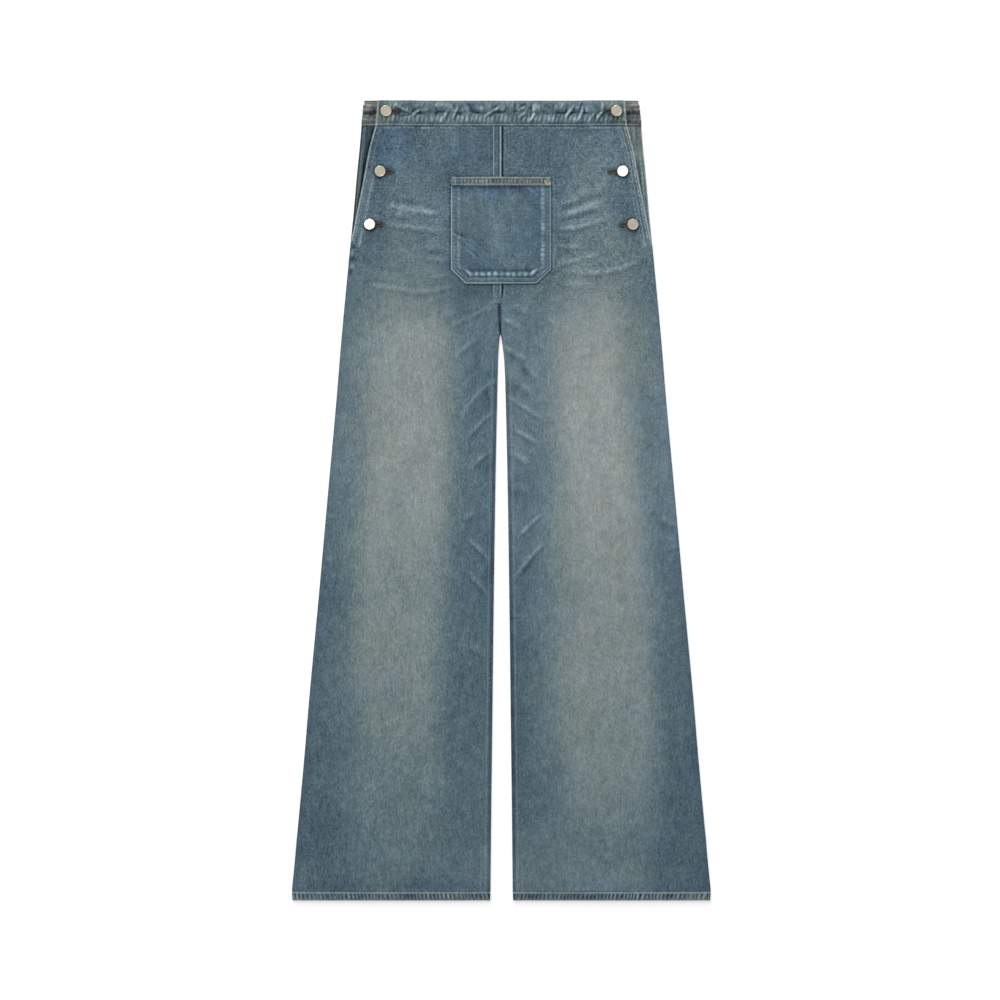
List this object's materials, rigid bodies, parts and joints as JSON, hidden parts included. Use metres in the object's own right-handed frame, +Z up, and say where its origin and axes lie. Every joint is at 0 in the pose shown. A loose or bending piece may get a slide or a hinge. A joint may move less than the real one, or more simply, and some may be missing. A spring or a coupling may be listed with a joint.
{
  "type": "baggy jeans",
  "caption": "Baggy high-rise jeans laid flat, front up, with a buttoned opening down each side, a wide centre patch pocket and wide straight legs.",
  "frame": {"origin": "middle of the garment's length and width, on the surface that it lies on", "axes": "+Z up, out of the front of the jeans; +Y from the hems towards the waist; +X towards the wearer's left"},
  "size_m": [0.5866, 1.12, 0.0117],
  "materials": {
    "denim": "washed blue-grey denim, twill, matt, faded on the thighs",
    "denim_back": "washed blue-grey denim, twill, matt",
    "denim_band": "washed denim folded double, puckered along its stitching",
    "denim_hem": "washed denim turned double, roped and rubbed pale on its ridges",
    "denim_pocket": "washed denim, slightly bluer than the legs",
    "button_metal": "pale antique nickel and brass, softly worn",
    "thread": "matt sewing thread, pale blue-grey, and rust brown at the buttonholes"
  },
  "bodies": {
    "root": {"front_left": "denim", "back_left": "denim_back", "underlap_left": "denim_back", "hem_front_left": "denim_hem", "hem_back_left": "denim_hem", "front_right": "denim", "back_right": "denim_back", "underlap_right": "denim_back", "hem_front_right": "denim_hem", "hem_back_right": "denim_hem", "waistband_front": "denim_band", "waistband_back": "denim_band", "centre_front_lap": "denim", "patch_pocket": "denim_pocket", "pocket_hem": "denim_pocket", "button_left_1": "button_metal", "button_left_2": "button_metal", "button_left_3": "button_metal", "button_right_1": "button_metal", "button_right_2": "button_metal", "button_right_3": "button_metal"}
  },
  "joints": []
}
